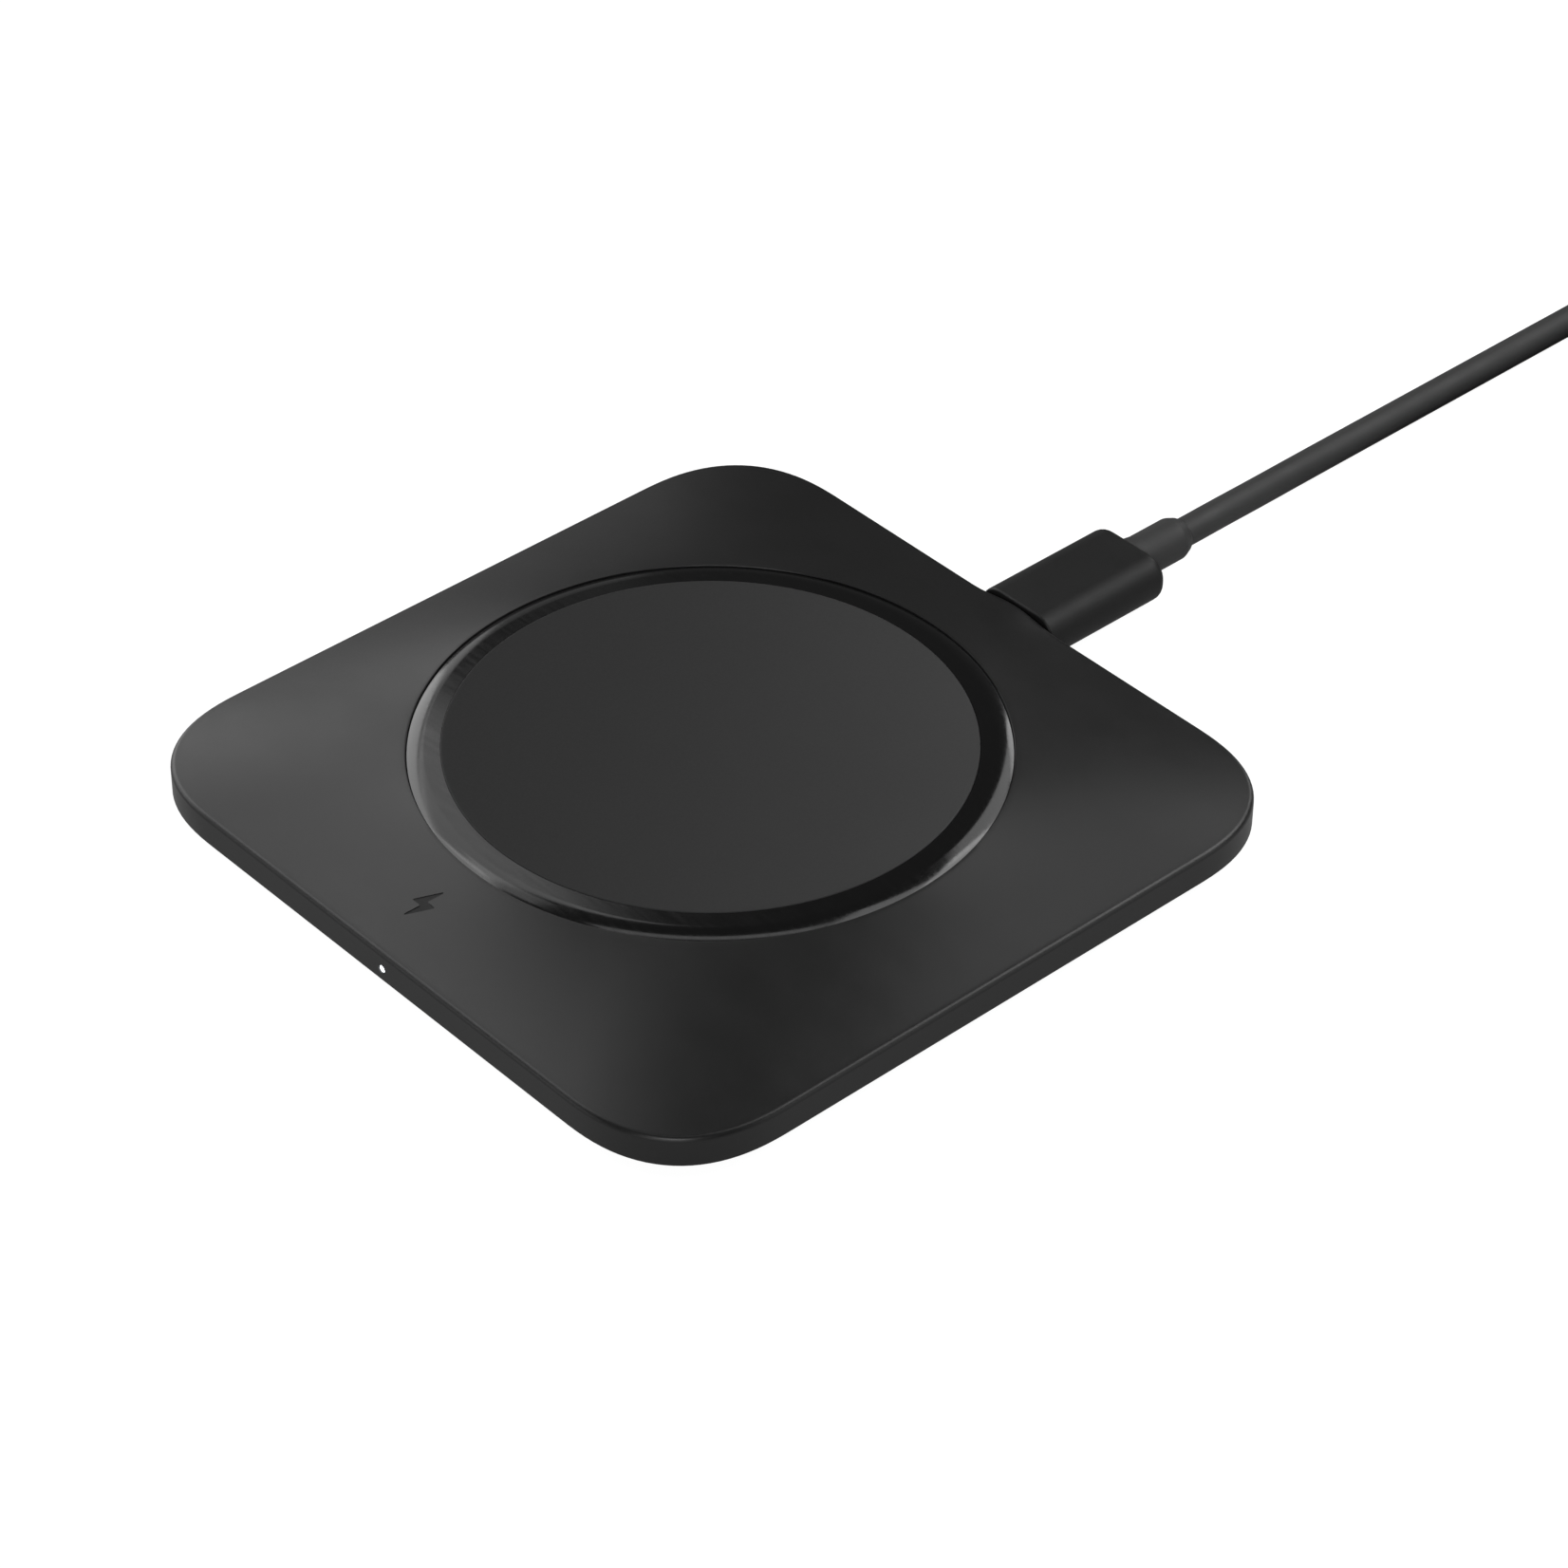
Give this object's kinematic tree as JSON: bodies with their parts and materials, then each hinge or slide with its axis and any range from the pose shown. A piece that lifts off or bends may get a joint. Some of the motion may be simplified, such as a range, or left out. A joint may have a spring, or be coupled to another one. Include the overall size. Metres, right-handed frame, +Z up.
{
  "type": "wireless charging pad",
  "caption": "Flat rounded-square wireless charging pad: flared casing, raised round puck in a ring, status light, detachable USB-C cable coiled behind it.",
  "frame": {"origin": "centre of the pad's outline on the table surface, under the rubber foot ring", "axes": "+Z up out of the charging face, -Y towards the status light, +Y towards the USB-C port and its cable, +X to the right seen from the status light"},
  "size_m": [0.1165, 0.2703, 0.0104],
  "materials": {
    "casing": "satin",
    "base_plastic": "matte",
    "disc_face": "matte",
    "bezel": "gloss",
    "foot_rubber": "matte",
    "screw_steel": "satin",
    "magnet_nickel": "satin",
    "copper": "satin",
    "ferrite": "matte",
    "graphite": "satin",
    "board": "satin",
    "chip": "matte",
    "capacitor": "satin",
    "thermal_pad": "matte",
    "status_light": "gloss",
    "connector_metal": "polished",
    "cable_jacket": "satin",
    "tie_fabric": "matte"
  },
  "bodies": {
    "pad": {"top_cover": "casing", "base_cover": "base_plastic", "coil_frame": "base_plastic", "port_tongue": "base_plastic", "charge_disc": "disc_face", "bezel_ring": "bezel", "foot_ring": "foot_rubber", "casing_screw_1": "screw_steel", "casing_screw_2": "screw_steel", "casing_screw_3": "screw_steel", "casing_screw_4": "screw_steel", "board_screw_1": "screw_steel", "board_screw_2": "screw_steel", "magnet_shunt": "screw_steel", "magnet_1": "magnet_nickel", "magnet_2": "magnet_nickel", "magnet_3": "magnet_nickel", "magnet_4": "magnet_nickel", "magnet_5": "magnet_nickel", "magnet_6": "magnet_nickel", "magnet_7": "magnet_nickel", "magnet_8": "magnet_nickel", "magnet_9": "magnet_nickel", "magnet_10": "magnet_nickel", "magnet_11": "magnet_nickel", "magnet_12": "magnet_nickel", "magnet_13": "magnet_nickel", "magnet_14": "magnet_nickel", "magnet_15": "magnet_nickel", "magnet_16": "magnet_nickel", "charging_coil": "copper", "coil_lead_left": "copper", "coil_lead_right": "copper", "ferrite_disc": "ferrite", "power_inductor": "ferrite", "shield_sheet": "graphite", "main_board": "board", "controller_chip": "chip", "power_chip": "chip", "thermistor": "chip", "resonant_capacitor_1": "capacitor", "resonant_capacitor_2": "capacitor", "resonant_capacitor_3": "capacitor", "resonant_capacitor_4": "capacitor", "thermal_pad": "thermal_pad", "status_led": "status_light", "light_pipe": "status_light", "port_shell": "connector_metal"},
    "cable": {"plug_shell": "connector_metal", "plug_body": "cable_jacket", "plug_neck": "cable_jacket", "cable_run": "cable_jacket", "cable_coil": "cable_jacket", "cable_tail": "cable_jacket", "cable_tie": "tie_fabric", "far_plug_shell": "connector_metal", "far_plug_body": "cable_jacket", "far_plug_neck": "cable_jacket"}
  },
  "joints": [
    {"name": "plug_slide", "type": "slide", "parent": "pad", "child": "cable", "axis": [0, 1, 0], "range_m": [0, 0.012]}
  ]
}
